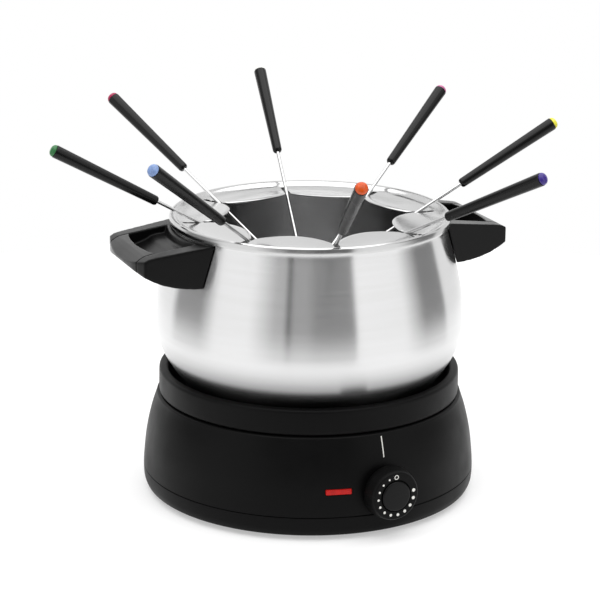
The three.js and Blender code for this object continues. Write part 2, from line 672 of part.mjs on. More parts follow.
const base = new THREE.Group();
base.add(
  makeTray(), makeHousing(), makeCollar(), ...makeFeet(), ...makeTrayScrews(),
  ...makeHeater(), ...makeControls(), makeKnob(),
);

const pot = new THREE.Group();
pot.add(...makePot(), makeHandle('left'), makeHandle('right'), makeRing());
pot.add(...FORKS.map(makeFork));

const fondueSet = new THREE.Group();
fondueSet.add(base, pot);

export default fondueSet;
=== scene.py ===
"""Electric fondue set: base with a dial, steel pot with two handles, fork ring and eight forks.

Metres in Blender. Shapes are written in millimetres in the part's own frame and scaled once.
A bearing is in degrees from the front (-Y) towards +X.
"""

import json
import math

import bmesh
import bpy
from mathutils import Matrix, Vector


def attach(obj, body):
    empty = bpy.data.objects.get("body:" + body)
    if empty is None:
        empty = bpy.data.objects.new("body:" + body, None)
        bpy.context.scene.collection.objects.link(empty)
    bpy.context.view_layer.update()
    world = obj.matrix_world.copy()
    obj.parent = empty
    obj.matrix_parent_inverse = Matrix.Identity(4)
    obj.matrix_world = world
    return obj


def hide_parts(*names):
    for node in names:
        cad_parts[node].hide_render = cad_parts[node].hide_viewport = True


MM = 0.001

# Sizes that the pieces share with the frame
GAP = 0.3
BASE_RADIUS = 103.4
TRAY_BOTTOM = 2.7
SEAM_Z = 14.7
DECK_Z = 61.9
COLLAR_RADIUS = 93.3
COLLAR_TOP = 78.3
WELL_RADIUS = 58.5
WELL_Z = 50.6
PLATE_RADIUS = 56
PLATE_TOP = 53.7
PLATE_UNDER = 47.5
KNOB_BEARING = 27
KNOB_Z = 28.8
KNOB_BACK = 104.2
KNOB_FRONT = 114.6
KNOB_RADIUS = 16.2
DOT_CIRCLE = 11.8
INDEX_FOOT = 47.9
LAMP_BEARING = 10.4
LAMP_Z = 30.3
FOOT_CIRCLE = 84
FOOT_BEARINGS = (15, 105, 195, 285)
POT_UNDER = 54
POT_FLOOR = 57.5
POT_WALL = 0.9
RIM_Z = 172.9
HANDLE_BEARINGS = {"left": -67.3, "right": 112.7}
HANDLE_START = 60
HANDLE_END = 130
HANDLE_HALF = 60
HANDLE_SPACE = (130, 190)
GRIP_HALF = 25
FLOOR_THICK = 3
HOLLOW_HALF = 23
HOLLOW_END = 104
MOUNT_WALL = 3.4
TAB_UNDER = 152
TAB_TOP = 153.5
TAB_HALF = 7
TAB_END = 101
HANDLE_SCREW_OUT = 96.5
SCREW_HOLE = 2.1
BOSS_RADIUS = 4.8
BOSS_TOP = 157.4
NOTCHES = 8
FIRST_NOTCH = 13
RING_TOP = 174.3
SKIRT_Z = 169.7
NOTCH_RADIUS = 66
LOBE_RADIUS = 51
SLOT_END = 79
SLOT_HALF = 1.7
FORK_COLOURS = {
    "orange": (0.62, 0.078, 0.004),
    "violet": (0.042, 0.022, 0.21),
    "yellow": (0.74, 0.69, 0.06),
    "pink": (0.55, 0.14, 0.32),
    "white": (0.78, 0.78, 0.75),
    "crimson": (0.34, 0.012, 0.07),
    "green": (0.025, 0.16, 0.045),
    "blue": (0.20, 0.30, 0.55),
}

# Studio
FLOOR_RADIUS = 600
FLOOR_GLOW = 0.42
# Panels around the object, from behind and round: bearing where each starts, brightness,
# and how many degrees its edge is blended over
PANELS = [
    (-180, 1.1, 0),    # behind
    (-118, 0.35, 8),   # dark card, left
    (-80, 1.2, 14),    # soft box, left
    (-35, 0.5, 20),    # grey card
    (-17, 0.0, 1),     # gap between two cards
    (-13, 0.35, 1),    # grey card
    (2, 0.2, 8),       # dark card, front
    (35, 1.2, 3),      # soft box, right
    (85, 0.25, 20),    # dark card, right
    (120, 1.0, 4),     # behind
]
# Sine of the elevation where the panels start to give way to white, and where they end
PANEL_TOP = (0.42, 0.72)
LIGHT_PLACE = (0.0, -0.1, 1.9)
LIGHT_AIM = (0, 0, 0.1)
LIGHT_SIZE = 2.6
LIGHT_WATTS = 34

# Detail
ROUND = 192
SMALL_ROUND = 48
REMESH_VOXEL = 0.55

# Camera
CAMERA_PLACE = (0.0, -1.30499, 0.50073)
CAMERA_YAW = -0.252
CAMERA_PITCH = 16.338
CAMERA_ROLL = 0.459
CAMERA_LENS = 131.8


# Meshes


def bearing_frame(bearing, height=0.0):
    """A frame with X outwards along a bearing."""
    turn = Matrix.Rotation(math.radians(bearing - 90), 4, "Z")
    return turn @ Matrix.Translation((0, 0, height))


def new_object(name, points, faces, place=None):
    """A smooth-shaded mesh from points in millimetres."""
    mesh = bpy.data.meshes.new(name)
    mesh.from_pydata([tuple(point) for point in points], [], faces)
    if place is not None:
        mesh.transform(place)
    mesh.transform(Matrix.Scale(MM, 4))
    shape = bmesh.new()
    shape.from_mesh(mesh)
    bmesh.ops.remove_doubles(shape, verts=shape.verts, dist=1e-7)
    bmesh.ops.recalc_face_normals(shape, faces=shape.faces)
    shape.to_mesh(mesh)
    shape.free()
    obj = bpy.data.objects.new(name, mesh)
    bpy.context.scene.collection.objects.link(obj)
    shade(obj)
    return obj


def shade(obj, angle=35):
    obj.data.shade_smooth()
    obj.data.set_sharp_from_angle(angle=math.radians(angle))


def fillet(outline, steps=4):
    """Rounds the corners of an outline of (r, z) or (r, z, radius) points."""
    result = []
    for i, corner in enumerate(outline):
        radius = corner[2] if len(corner) > 2 else 0
        here = Vector(corner[:2])
        if radius <= 0 or i in (0, len(outline) - 1):
            result.append(tuple(here))
            continue
        back = Vector(outline[i - 1][:2]) - here
        ahead = Vector(outline[i + 1][:2]) - here
        reach = min(radius, back.length * 0.49, ahead.length * 0.49)
        start = here + back.normalized() * reach
        end = here + ahead.normalized() * reach
        for step in range(steps + 1):
            t = step / steps
            point = start * (1 - t) ** 2 + here * 2 * t * (1 - t) + end * t ** 2
            result.append(tuple(point))
    return result


def spline(points, count):
    """Evenly spread points of a smooth curve through the given ones."""
    padded = [points[0], *points, points[-1]]
    dense = []
    for i in range(1, len(padded) - 2):
        p0, p1, p2, p3 = (Vector(padded[i + k - 1]) for k in range(4))
        for step in range(16):
            t = step / 16
            dense.append(
                0.5
                * (
                    2 * p1
                    + (p2 - p0) * t
                    + (2 * p0 - 5 * p1 + 4 * p2 - p3) * t ** 2
                    + (3 * p1 - p0 - 3 * p2 + p3) * t ** 3
                )
            )
    dense.append(Vector(points[-1]))
    lengths = [0.0]
    for before, after in zip(dense, dense[1:]):
        lengths.append(lengths[-1] + (after - before).length)
    result = []
    k = 0
    for step in range(count + 1):
        goal = lengths[-1] * step / count
        while k < len(dense) - 2 and lengths[k + 1] < goal:
            k += 1
        span = lengths[k + 1] - lengths[k]
        part = (goal - lengths[k]) / span if span else 0
        result.append(tuple(dense[k].lerp(dense[k + 1], part)))
    return result


def offset(outline, distance):
    """Moves an outline to its right as it is followed."""
    moved = []
    last = len(outline) - 1
    for i, (r, z) in enumerate(outline):
        before = outline[max(i - 1, 0)]
        after = outline[min(i + 1, last)]
        length = math.hypot(after[0] - before[0], after[1] - before[1])
        moved.append(
            (
                r + (after[1] - before[1]) / length * distance,
                z + (before[0] - after[0]) / length * distance,
            )
        )
    return moved


def lathe_mesh(outline, sides, closed):
    """Points and faces of an outline of (r, z) points turned about Z."""
    points = []
    rings = []
    for r, z in outline:
        if r < 1e-6:
            rings.append([len(points)] * sides)
            points.append((0, 0, z))
            continue
        rings.append(list(range(len(points), len(points) + sides)))
        for k in range(sides):
            angle = 2 * math.pi * k / sides
            points.append((r * math.cos(angle), r * math.sin(angle), z))
    faces = []
    pairs = list(zip(rings, rings[1:]))
    if closed:
        pairs.append((rings[-1], rings[0]))
    for low, high in pairs:
        for k in range(sides):
            n = (k + 1) % sides
            corners = [low[k], low[n], high[n], high[k]]
            face = list(dict.fromkeys(corners))
            if len(face) > 2:
                faces.append(face)
    return points, faces


def lathe(name, outline, sides=ROUND, closed=False, place=None):
    points, faces = lathe_mesh(outline, sides, closed)
    return new_object(name, points, faces, place)


def x_axis_lathe(name, outline, place, sides=SMALL_ROUND, closed=False):
    """A lathe about X: outline points are (r, distance outwards)."""
    onto_x = Matrix.Rotation(math.radians(90), 4, "Y")
    return lathe(name, outline, sides, closed, place @ onto_x)


def prism(name, outline, low, high, upright=False, place=None):
    """An outline raised along Z, or along Y if upright with (x, z) points."""
    count = len(outline)
    points = []
    for level in (low, high):
        for a, b in outline:
            points.append((a, level, b) if upright else (a, b, level))
    faces = [list(range(count))[::-1], list(range(count, 2 * count))]
    for k in range(count):
        n = (k + 1) % count
        faces.append([k, n, count + n, count + k])
    return new_object(name, points, faces, place)


def box_outline(x0, x1, y0, y1, radius=0.0, steps=5):
    """A rectangle with rounded corners."""
    if radius <= 0:
        return [(x0, y0), (x1, y0), (x1, y1), (x0, y1)]
    outline = []
    corners = (
        (x1 - radius, y0 + radius, -90), (x1 - radius, y1 - radius, 0),
        (x0 + radius, y1 - radius, 90), (x0 + radius, y0 + radius, 180),
    )
    for cx, cy, start in corners:
        for step in range(steps + 1):
            angle = math.radians(start + 90 * step / steps)
            outline.append((cx + radius * math.cos(angle), cy + radius * math.sin(angle)))
    return outline


def apply_modifiers(obj):
    bpy.context.view_layer.update()
    graph = bpy.context.evaluated_depsgraph_get()
    mesh = bpy.data.meshes.new_from_object(obj.evaluated_get(graph))
    obj.modifiers.clear()
    obj.data = mesh


def combine(obj, other, operation):
    """Cuts, joins or intersects obj with another shape, which is used up."""
    change = obj.modifiers.new("combine", "BOOLEAN")
    change.operation = operation
    change.solver = "EXACT"
    change.object = other
    apply_modifiers(obj)
    bpy.data.objects.remove(other)


def bevel(obj, width, segments=3, angle=35):
    change = obj.modifiers.new("bevel", "BEVEL")
    change.width = width * MM
    change.segments = segments
    change.limit_method = "ANGLE"
    change.angle_limit = math.radians(angle)
    apply_modifiers(obj)
    shade(obj)


def mould(obj, voxel=REMESH_VOXEL, repeats=5):
    """Rounds every edge, as a moulded plastic part has."""
    change = obj.modifiers.new("remesh", "REMESH")
    change.mode = "VOXEL"
    change.voxel_size = voxel * MM
    change.use_smooth_shade = True
    soften = obj.modifiers.new("soften", "SMOOTH")
    soften.factor = 0.5
    soften.iterations = repeats
    apply_modifiers(obj)
    obj.data.shade_smooth()


def join(objects, name):
    """Joins several shapes into the first one."""
    first, *others = objects
    shape = bmesh.new()
    shape.from_mesh(first.data)
    for other in others:
        shape.from_mesh(other.data)
    shape.to_mesh(first.data)
    shape.free()
    for other in others:
        bpy.data.objects.remove(other)
    first.name = name
    shade(first)
    return first


# Materials


class Material:
    """A node material under construction."""

    def __init__(self, name, colour, roughness, metallic=0.0, specular=0.5, coat=0.0):
        self.data = bpy.data.materials.new(name)
        self.data.use_nodes = True
        self.nodes = self.data.node_tree.nodes
        self.links = self.data.node_tree.links
        self.shader = self.nodes["Principled BSDF"]
        self.shader.inputs["Base Color"].default_value = (*colour, 1)
        self.shader.inputs["Roughness"].default_value = roughness
        self.shader.inputs["Metallic"].default_value = metallic
        self.shader.inputs["Specular IOR Level"].default_value = specular
        self.shader.inputs["Coat Weight"].default_value = coat
        self.place = self.nodes.new("ShaderNodeTexCoord").outputs["Object"]
        self.height = None

    def node(self, kind, **values):
        made = self.nodes.new(kind)
        for key, value in values.items():
            setattr(made, key, value)
        return made

    def maths(self, operation, a, b=None):
        made = self.node("ShaderNodeMath", operation=operation)
        for socket, value in zip(made.inputs, (a, b)):
            if isinstance(value, (int, float)):
                socket.default_value = value
            elif value is not None:
                self.links.new(value, socket)
        return made.outputs[0]

    def noise(self, scale, detail=4.0, place=None, roughness=0.5):
        made = self.node("ShaderNodeTexNoise")
        made.inputs["Scale"].default_value = scale
        made.inputs["Detail"].default_value = detail
        made.inputs["Roughness"].default_value = roughness
        self.links.new(self.place if place is None else place, made.inputs["Vector"])
        return made.outputs["Fac"]

    def around_z(self, along, across):
        """Coordinates whose noise runs in long streaks around the Z axis."""
        split = self.node("ShaderNodeSeparateXYZ")
        self.links.new(self.place, split.inputs[0])
        x, y, z = split.outputs
        angle = self.maths("ARCTAN2", y, x)
        squares = self.maths("ADD", self.maths("MULTIPLY", x, x), self.maths("MULTIPLY", y, y))
        radius = self.maths("SQRT", squares)
        join_up = self.node("ShaderNodeCombineXYZ")
        self.links.new(self.maths("MULTIPLY", angle, along), join_up.inputs[0])
        self.links.new(self.maths("MULTIPLY", radius, across), join_up.inputs[1])
        self.links.new(self.maths("MULTIPLY", z, across), join_up.inputs[2])
        return join_up.outputs[0]

    def stretched(self, scale):
        """Object coordinates scaled by a factor for each axis."""
        made = self.node("ShaderNodeMapping")
        made.inputs["Scale"].default_value = scale
        self.links.new(self.place, made.inputs["Vector"])
        return made.outputs[0]

    def span(self, source, low, high, from_low=0.3, from_high=0.7):
        made = self.node("ShaderNodeMapRange")
        made.inputs["From Min"].default_value = from_low
        made.inputs["From Max"].default_value = from_high
        made.inputs["To Min"].default_value = low
        made.inputs["To Max"].default_value = high
        self.links.new(source, made.inputs["Value"])
        return made.outputs["Result"]

    def vary_roughness(self, source, low, high):
        self.links.new(self.span(source, low, high), self.shader.inputs["Roughness"])
        return self

    def vary_colour(self, source, low, high):
        ramp = self.node("ShaderNodeValToRGB")
        ramp.color_ramp.elements[0].position = 0.3
        ramp.color_ramp.elements[0].color = (*low, 1)
        ramp.color_ramp.elements[1].position = 0.7
        ramp.color_ramp.elements[1].color = (*high, 1)
        self.links.new(source, ramp.inputs["Fac"])
        self.links.new(ramp.outputs["Color"], self.shader.inputs["Base Color"])
        return ramp.outputs["Color"]

    def fade_down(self, colour, low, high, least):
        """Darkens a colour smoothly from one height down to another: painted shade."""
        split = self.node("ShaderNodeSeparateXYZ")
        self.links.new(self.place, split.inputs[0])
        level = self.span(split.outputs[2], least, 1.0, low * MM, high * MM)
        level.node.interpolation_type = "SMOOTHSTEP"
        darker = self.node("ShaderNodeVectorMath", operation="SCALE")
        self.links.new(colour, darker.inputs[0])
        self.links.new(level, darker.inputs["Scale"])
        self.links.new(darker.outputs[0], self.shader.inputs["Base Color"])
        return self

    def bump(self, source, strength, distance):
        made = self.node("ShaderNodeBump")
        made.inputs["Strength"].default_value = strength
        made.inputs["Distance"].default_value = distance * MM
        self.links.new(source, made.inputs["Height"])
        if self.height is not None:
            self.links.new(self.height, made.inputs["Normal"])
        self.height = made.outputs["Normal"]
        self.links.new(self.height, self.shader.inputs["Normal"])
        return self

    def brushed_around_z(self, amount, rotation=0.25):
        """Stretches the highlights across marks that run around the Z axis."""
        tangent = self.node("ShaderNodeTangent", direction_type="RADIAL", axis="Z")
        self.links.new(tangent.outputs[0], self.shader.inputs["Tangent"])
        self.shader.inputs["Anisotropic"].default_value = amount
        self.shader.inputs["Anisotropic Rotation"].default_value = rotation
        return self


def plastic(name, shade_of_black, roughness, specular, grain=0.25, skin=0.0):
    """Moulded black plastic with a fine spark texture, handling marks and a thin glossy skin."""
    made = Material(name, (shade_of_black,) * 3, roughness, specular=specular, coat=skin)
    made.shader.inputs["Coat IOR"].default_value = 1.2
    made.shader.inputs["Coat Roughness"].default_value = 0.25
    fine = made.noise(2600, 3)
    broad = made.noise(38, 5)
    made.vary_roughness(broad, roughness - 0.05, roughness + 0.08)
    low = (shade_of_black * 0.85,) * 3
    high = (shade_of_black * 1.2, shade_of_black * 1.17, shade_of_black * 1.22)
    made.vary_colour(broad, low, high)
    made.bump(fine, grain, 0.05)
    return made.data


def brushed_steel(name, level, roughness, anisotropy, depth=0.012, painted_shade_below=None):
    """Spun stainless steel: long fine marks around the axis, with painted shade towards a low edge."""
    made = Material(name, (level,) * 3, roughness, metallic=1.0)
    marks = made.noise(1.0, 5, made.around_z(2.2, 2600.0))
    wide = made.noise(1.0, 3, made.around_z(1.3, 420.0))
    made.vary_roughness(marks, roughness - 0.02, roughness + 0.02)
    bright = (level * 1.01, level * 1.01, level * 1.015)
    colour = made.vary_colour(wide, (level * 0.985,) * 3, bright)
    # Painted shade and painted reflection of the black base: the colour darkens towards the bottom.
    if painted_shade_below:
        low, high, least = painted_shade_below
        made.fade_down(colour, low, high, least)
    made.bump(marks, 0.16, depth)
    made.brushed_around_z(anisotropy)
    return made.data


def polished_steel(name, level, roughness):
    """Polished steel with hairline marks and faint smudges."""
    made = Material(name, (level,) * 3, roughness, metallic=1.0)
    hair = made.noise(1.0, 4, made.around_z(5.0, 1500.0))
    smudge = made.noise(55, 4)
    made.vary_roughness(smudge, roughness - 0.04, roughness + 0.06)
    made.vary_colour(smudge, (level * 0.96,) * 3, (level * 1.02,) * 3)
    made.bump(hair, 0.12, 0.008)
    return made.data


def painted(name, colour, roughness=0.45):
    """Printed ink with slightly uneven cover."""
    made = Material(name, colour, roughness)
    cover = made.noise(900, 3)
    made.vary_colour(cover, tuple(0.86 * c for c in colour), colour)
    made.bump(cover, 0.1, 0.01)
    return made.data


def coloured_cap(name, colour):
    """Glossy moulded cap with a slight cloud in its pigment."""
    made = Material(name, colour, 0.22, specular=0.3, coat=0.2)
    cloud = made.noise(420, 3)
    low = tuple(0.8 * c for c in colour)
    high = tuple(min(1, 1.12 * c) for c in colour)
    made.vary_colour(cloud, low, high)
    made.bump(cloud, 0.08, 0.02)
    return made.data


def cast_plate(name):
    """Heat-darkened hotplate with turned marks."""
    made = Material(name, (0.05, 0.05, 0.052), 0.5, metallic=0.85)
    turned = made.noise(1.0, 4, made.around_z(1.6, 900.0))
    stain = made.noise(30, 5)
    made.vary_colour(stain, (0.032, 0.031, 0.031), (0.085, 0.078, 0.07))
    made.vary_roughness(stain, 0.42, 0.6)
    made.bump(turned, 0.35, 0.05)
    return made.data


def rough_solid(name, low, high, roughness, scale, strength=0.3, metallic=0.0):
    """A plain inner material, such as rubber, ceramic or bare metal."""
    made = Material(name, high, roughness, metallic=metallic)
    grain = made.noise(scale, 5)
    made.vary_colour(grain, low, high)
    made.vary_roughness(grain, roughness - 0.06, roughness + 0.06)
    made.bump(grain, strength, 0.05)
    return made.data


def lit_lens(name):
    """Red lamp lens, lit from behind, with patches of uneven brightness."""
    made = Material(name, (0.26, 0.003, 0.002), 0.3, specular=0.25)
    patches = made.noise(260, 2)
    made.vary_colour(patches, (0.22, 0.002, 0.001), (0.36, 0.005, 0.003))
    made.shader.inputs["Emission Color"].default_value = (0.5, 0.002, 0.001, 1)
    made.shader.inputs["Emission Strength"].default_value = 0.3
    made.bump(made.noise(1.0, 0, made.stretched((1400, 1400, 60))), 0.2, 0.05)
    return made.data


def clear_glass(name):
    made = Material(name, (0.95, 0.72, 0.58), 0.08)
    made.shader.inputs["Transmission Weight"].default_value = 0.8
    made.bump(made.noise(300, 2), 0.05, 0.02)
    return made.data


# Frame

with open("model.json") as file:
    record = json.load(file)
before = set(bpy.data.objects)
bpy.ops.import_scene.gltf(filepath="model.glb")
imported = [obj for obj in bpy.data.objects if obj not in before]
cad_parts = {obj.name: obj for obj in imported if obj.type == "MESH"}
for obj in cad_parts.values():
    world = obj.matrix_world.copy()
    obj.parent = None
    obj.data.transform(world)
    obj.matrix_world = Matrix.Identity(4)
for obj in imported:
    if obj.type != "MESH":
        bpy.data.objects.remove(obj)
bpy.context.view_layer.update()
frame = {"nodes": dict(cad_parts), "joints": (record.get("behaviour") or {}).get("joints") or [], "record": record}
record = frame["record"]

satin = plastic("satin_black", 0.0016, 0.42, 0.10)
moulded = plastic("moulded_black", 0.0018, 0.36, 0.10, skin=0.6)
grip_black = plastic("grip_black", 0.0024, 0.36, 0.15, skin=0.8)
glossy_black = plastic("glossy_black", 0.0026, 0.24, 0.26, grain=0.1)
# The pot's colour darkens below 104 mm, down to 0.40 at 82 mm: painted shade and painted reflection of the black
# base.
pot_steel = brushed_steel("pot_steel", 0.68, 0.22, 0.96, depth=0.004, painted_shade_below=(82, 104, 0.40))
ring_steel = polished_steel("ring_steel", 0.57, 0.17)
disc_metal = brushed_steel("disc_metal", 0.55, 0.38, 0.4)
fork_steel = polished_steel("fork_steel", 0.58, 0.2)
plain_steel = rough_solid("plain_steel", (0.42,) * 3, (0.6,) * 3, 0.3, 700, 0.15, 1.0)
dark_steel = rough_solid("dark_steel", (0.08,) * 3, (0.16,) * 3, 0.45, 500, 0.3, 1.0)
bare_aluminium = rough_solid("bare_aluminium", (0.55,) * 3, (0.7,) * 3, 0.36, 400, 0.2, 1.0)
brass = rough_solid("turned_brass", (0.55, 0.42, 0.18), (0.72, 0.57, 0.28), 0.3, 600, 0.15, 1.0)
ceramic = rough_solid("unglazed_ceramic", (0.62, 0.58, 0.5), (0.76, 0.72, 0.64), 0.8, 900)
rubber = rough_solid("black_rubber", (0.010,) * 3, (0.018,) * 3, 0.8, 1500)
hotplate_metal = cast_plate("hotplate_metal")
white_ink = painted("white_ink", (0.78, 0.77, 0.73))
lens_red = lit_lens("lamp_red")
lamp_glass = clear_glass("lamp_glass")


def finish_piece(obj, material, body, nodes=()):
    obj.data.materials.clear()
    obj.data.materials.append(material)
    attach(obj, body)
    if nodes:
        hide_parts(*nodes)
    return obj


def carry(node, material):
    """A frame node that shows as it is, with a better material."""
    mesh = frame["nodes"][node].data
    mesh.materials.clear()
    mesh.materials.append(material)


# Base

HOUSING_SIDE = spline(
    [(BASE_RADIUS, SEAM_Z + 0.4), (102.9, 22.5), (101.3, 36), (98.3, 49.5), (94.9, 60)], 28
)


def side_radius(height):
    """Radius of the housing's outside at a height."""
    for (r0, z0), (r1, z1) in zip(HOUSING_SIDE, HOUSING_SIDE[1:]):
        if z0 <= height <= z1:
            return r0 + (r1 - r0) * (height - z0) / (z1 - z0)
    return HOUSING_SIDE[-1][0]


def make_tray():
    wall = 2.4
    outline = fillet([
        (0, TRAY_BOTTOM), (101.2, TRAY_BOTTOM, 1.6), (103.1, 6.5, 2.5), (BASE_RADIUS, 11, 1),
        (BASE_RADIUS, SEAM_Z - 0.1, 0.5), (BASE_RADIUS - wall, SEAM_Z - 0.1, 0.4),
        (BASE_RADIUS - wall, 4.9, 1), (0, 4.9),
    ], 5)
    return lathe("base_tray", outline)


def lamp_bar(name, half_width, half_height, corner, near, far):
    """A rounded bar that points outwards at the lamp's place."""
    outline = box_outline(
        -half_width, half_width, LAMP_Z - half_height, LAMP_Z + half_height, corner
    )
    outwards = Matrix(((0, 0, 1, 0), (1, 0, 0, 0), (0, 1, 0, 0), (0, 0, 0, 1)))
    return prism(name, outline, near, far, place=bearing_frame(LAMP_BEARING) @ outwards)


def make_housing():
    wall = 2.4
    inside = offset(HOUSING_SIDE, -wall)[::-1]
    shoulder = fillet([
        HOUSING_SIDE[-1], (94.6, 61.3, 0.9), (93.2, DECK_Z, 0.6), (84, DECK_Z, 0.5),
        (84, DECK_Z - wall, 0.5), (inside[0][0], DECK_Z - wall),
    ], 5)
    lip = fillet([
        inside[-1], (BASE_RADIUS - wall, SEAM_Z + GAP), (BASE_RADIUS - 0.5, SEAM_Z + GAP),
    ])
    housing = lathe(
        "base_housing", [*HOUSING_SIDE, *shoulder[1:], *inside[1:], *lip[1:]], closed=True
    )
    window = lamp_bar("window", 8.05, 1.9, 0.7, 90, 110)
    combine(housing, window, "DIFFERENCE")
    shade(housing)
    return housing


def make_collar():
    bottom = DECK_Z + 0.3
    well = spline([(87, 76.7), (84, 69), (79.5, 61.5), (71, 54.5), (WELL_RADIUS, WELL_Z)], 22)
    outline = [
        (COLLAR_RADIUS - 1.2, bottom, 0.3), (COLLAR_RADIUS - 0.2, bottom + 0.7, 0.6),
        (COLLAR_RADIUS, bottom + 2.2, 0.6), (COLLAR_RADIUS - 0.2, COLLAR_TOP - 0.2, 3.4),
        (88.4, COLLAR_TOP, 1.6), *well, (WELL_RADIUS, WELL_Z - 2),
        *offset(well, -2)[::-1][1:-1], (86.4, 73), (90.6, 72), (90.9, bottom),
    ]
    return lathe("base_collar", fillet(outline, 6), closed=True)


def make_foot(index, bearing):
    outline = fillet([
        (0, 0.5), (4, 0.5, 0.3), (4.6, 0, 0.3), (8.2, 0, 0.8), (9, 1, 0.4), (9, 2.4, 0.3),
        (3, 2.4, 0.2), (3, 6, 0.3), (0, 6),
    ])
    place = bearing_frame(bearing) @ Matrix.Translation((FOOT_CIRCLE, 0, 0))
    return lathe(f"rubber_foot_{index}", outline, SMALL_ROUND, place=place)


def make_hotplate():
    rings = []
    for k in range(5):
        groove = 46 - 8 * k
        rings += [
            (groove + 0.7, PLATE_TOP, 0.2), (groove + 0.3, PLATE_TOP - 0.4, 0.2),
            (groove - 0.3, PLATE_TOP - 0.4, 0.2), (groove - 0.7, PLATE_TOP, 0.2),
        ]
    outline = fillet([
        (0, PLATE_UNDER), (52, PLATE_UNDER, 1), (52, 46.3, 0.4), (63, 46.3, 0.5),
        (63, 48.3, 0.5), (PLATE_RADIUS, 48.3, 0.5), (PLATE_RADIUS, PLATE_TOP - 0.2, 1.2),
        (54, PLATE_TOP, 0.4), *rings, (0, PLATE_TOP),
    ])
    return lathe("hotplate_disc", outline)


def make_lens():
    lens = lamp_bar("lamp_bar", 7.7, 1.57, 0.5, 98.4, side_radius(LAMP_Z) + 0.3)
    bevel(lens, 0.35)
    return lens


def make_index_line():
    """Printed line on the housing above the dial."""
    half = math.radians(0.19)
    bearing = math.radians(KNOB_BEARING - 90)
    points = []
    faces = []
    heights = [INDEX_FOOT + k for k in range(13)]
    for height in heights:
        for lift in (0.03, 0.09):
            radius = side_radius(height) + lift
            for side in (-half, half):
                angle = bearing + side
                points.append((radius * math.cos(angle), radius * math.sin(angle), height))
    for k in range(len(heights) - 1):
        a = 4 * k
        b = a + 4
        for low, high in ((0, 1), (1, 3), (3, 2), (2, 0)):
            faces.append([a + low, a + high, b + high, b + low])
    faces.append([0, 1, 3, 2])
    end = 4 * (len(heights) - 1)
    faces.append([end, end + 1, end + 3, end + 2])
    return new_object("index_line", points, faces)


def make_dots():
    """Printed scale on the dial: an open ring, then dots that grow."""
    centre = bearing_frame(KNOB_BEARING, KNOB_Z)
    dots = []
    step = 280 / 12
    for k in range(13):
        angle = math.radians(90 + step * k)
        side = -DOT_CIRCLE * math.cos(angle)
        up = DOT_CIRCLE * math.sin(angle)
        # The dial face is seen from outside, where +Y of its frame is to the right.
        place = centre @ Matrix.Translation((KNOB_FRONT - 0.02, -side, up))
        if k == 0:
            outline = [(1.0, 0), (1.0, 0.07), (1.45, 0.07), (1.45, 0)]
            dots.append(x_axis_lathe("dot", outline, place, 24, closed=True))
        else:
            size = 0.55 + 0.045 * k
            outline = [(0, 0), (size, 0), (size, 0.06), (size * 0.9, 0.08), (0, 0.08)]
            dots.append(x_axis_lathe("dot", outline, place, 20))
    return join(dots, "dial_scale")


def make_knob():
    place = bearing_frame(KNOB_BEARING, KNOB_Z)
    front = KNOB_FRONT
    outline = fillet([
        (3.3, KNOB_BACK, 0.2), (KNOB_RADIUS - 0.4, KNOB_BACK, 0.5),
        (KNOB_RADIUS, KNOB_BACK + 0.9, 0.4), (KNOB_RADIUS, KNOB_BACK + 2.8, 0.9),
        (15.2, front - 1.6, 0.8), (14.4, front, 1.0), (10, front, 0.4), (9.5, front - 0.4, 0.3),
        (9.5, front - 1.6, 0.3), (0, front - 1.6),
    ], 5)
    back = [(0, front - 3.1), (3.3, front - 3.1)]
    return x_axis_lathe("dial", [*back, *outline], place, 96)


def make_knob_cap():
    place = bearing_frame(KNOB_BEARING, KNOB_Z)
    front = KNOB_FRONT
    outline = fillet([
        (0, front - 1.3), (9.15, front - 1.3, 0.2), (9.15, front + 0.3, 0.5),
        (8.5, front + 0.8, 0.5), (4.8, front + 1.1, 1.5), (0, front + 1.2),
    ], 5)
    return x_axis_lathe("dial_centre", outline, place, 72)


finish_piece(make_tray(), satin, "base", ("bottom_tray",))
finish_piece(make_housing(), satin, "base", ("housing",))
finish_piece(make_collar(), satin, "base", ("collar",))
finish_piece(make_hotplate(), hotplate_metal, "base", ("hotplate",))
finish_piece(make_lens(), lens_red, "base", ("lamp_lens",))
finish_piece(make_index_line(), white_ink, "base")
for number, foot_bearing in enumerate(FOOT_BEARINGS, 1):
    foot = make_foot(number, foot_bearing)
    finish_piece(foot, rubber, "base", (f"foot_{number}",))
for number in range(1, 5):
    carry(f"tray_screw_{number}", dark_steel)
carry("heating_element", dark_steel)
carry("heat_shield", bare_aluminium)
carry("hotplate_stud", plain_steel)
carry("stud_nut", plain_steel)
carry("thermostat", ceramic)
carry("terminal_block", ceramic)
carry("neon_lamp", lamp_glass)
carry("cord_gland", rubber)

finish_piece(make_knob(), satin, "knob", ("knob",))
finish_piece(make_knob_cap(), moulded, "knob", ("knob_cap",))
finish_piece(make_dots(), white_ink, "knob")
carry("thermostat_spindle", brass)


# Pot

POT_SIDE = spline(
    [
        (57, POT_FLOOR), (64.5, 59), (71, 63), (81, 74.2), (90.4, 88.5), (94.7, 102),
        (95.3, 111.5), (94.2, 125), (91.2, 139.5), (87.3, 154.5), (83.9, 167.6),
    ],
    64,
)


def make_pot():
    lip = [(84.1, 169.6), (84.7, RIM_Z)]
    outside = [*POT_SIDE, *lip]
    inside = offset(outside, -POT_WALL)[::-1]
    outline = [(0, POT_FLOOR), *outside, *inside, (0, POT_FLOOR + POT_WALL)]
    return lathe("pot_shell", outline, 256)


def make_disc():
    outline = fillet([
        (0, POT_UNDER), (54.2, POT_UNDER, 0.9), (55, POT_UNDER + 1, 0.6),
        (55, POT_UNDER + 3.2, 0.4), (0, POT_UNDER + 3.2),
    ])
    return lathe("pot_disc", outline)


def about_pot(name, outline, bearing):
    """A closed lathe about the pot's axis, in a handle's own frame."""
    place = bearing_frame(bearing).inverted()
    return lathe(name, outline, closed=True, place=place)


